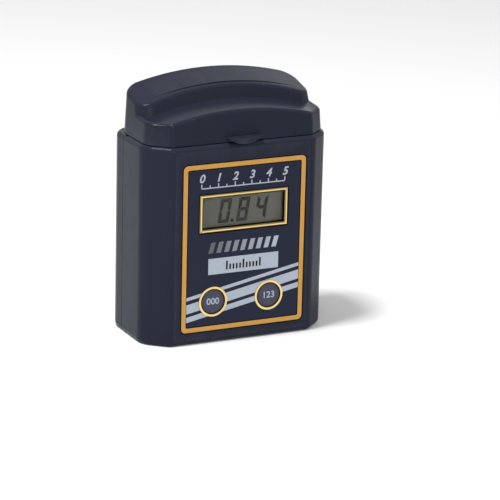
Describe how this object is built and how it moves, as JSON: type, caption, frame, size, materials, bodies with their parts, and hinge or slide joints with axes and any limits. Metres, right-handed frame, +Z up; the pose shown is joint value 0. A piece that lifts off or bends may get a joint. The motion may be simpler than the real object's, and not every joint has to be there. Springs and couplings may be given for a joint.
{
  "type": "pocket colorimeter",
  "caption": "Hand-held colorimeter: moulded casing, stepped flip-up hood over a round sample well, framed display and round keys on the front label, battery door at the back.",
  "frame": {"origin": "centre of the flat base the instrument stands on", "axes": "+Z up, along the sample well and out of its mouth; -Y out of the front label; +X to the right seen by someone who faces the label"},
  "size_m": [0.08, 0.0423, 0.1045],
  "materials": {
    "casing": "fine satin texture",
    "hood": "fine satin texture",
    "deck": "matte",
    "rubber_seal": "matte",
    "foam": "open-cell foam",
    "label": "printed film, satin",
    "gilt": "satin gilt",
    "pane": "clear",
    "display": "grey-green liquid crystal cell",
    "frame_plastic": "matte",
    "contact_strip": "layered elastomer",
    "keys": "satin",
    "switch": "glossy",
    "board": "solder resist",
    "chip": "matte",
    "steel": "plated",
    "brass_insert": "turned",
    "optics_plastic": "light-absorbing matte",
    "lamp": "clear resin",
    "filter_glass": "coloured glass",
    "battery_case": "satin",
    "tray": "matte"
  },
  "bodies": {
    "case": {"front_shell": "casing", "back_shell": "casing", "case_seal": "rubber_seal", "top_deck": "deck", "deck_seal": "rubber_seal", "deck_screws": "steel", "overlay": "label", "window_bezel": "gilt", "display_window": "pane", "key_rings": "gilt", "lcd_glass": "display", "lcd_holder": "frame_plastic", "zebra_strips": "contact_strip", "main_board": "board", "board_chips": "chip", "board_screws": "steel", "cell_holder": "optics_plastic", "cell_pad": "foam", "led": "lamp", "led_board": "board", "optical_filter": "filter_glass", "detector": "steel", "detector_board": "board", "battery": "battery_case", "battery_terminals": "steel", "battery_snap": "switch", "battery_tray": "tray", "case_screws": "steel", "screw_inserts": "brass_insert", "hinge_pin": "steel", "zero_switch": "switch", "read_switch": "switch"},
    "hood": {"hood": "hood", "hood_pad": "foam"},
    "zero_button": {"zero_button": "keys", "zero_plunger": "frame_plastic"},
    "read_button": {"read_button": "keys", "read_plunger": "frame_plastic"},
    "battery_door": {"battery_door": "casing", "door_pad": "foam"}
  },
  "joints": [
    {"name": "hood_hinge", "type": "hinge", "parent": "case", "child": "hood", "pos_m": [0, 0.0181, 0.0838], "axis": [-1, 0, 0], "range_deg": [0, 110]},
    {"name": "zero_press", "type": "slide", "parent": "case", "child": "zero_button", "axis": [0, 1, 0], "range_m": [0, 0.0004], "stiffness_N_per_m": 1500},
    {"name": "read_press", "type": "slide", "parent": "case", "child": "read_button", "axis": [0, 1, 0], "range_m": [0, 0.0004], "stiffness_N_per_m": 1500},
    {"name": "battery_door_hinge", "type": "hinge", "parent": "case", "child": "battery_door", "pos_m": [0, 0.0194, 0.0055], "axis": [-1, 0, 0], "range_deg": [0, 75]}
  ]
}
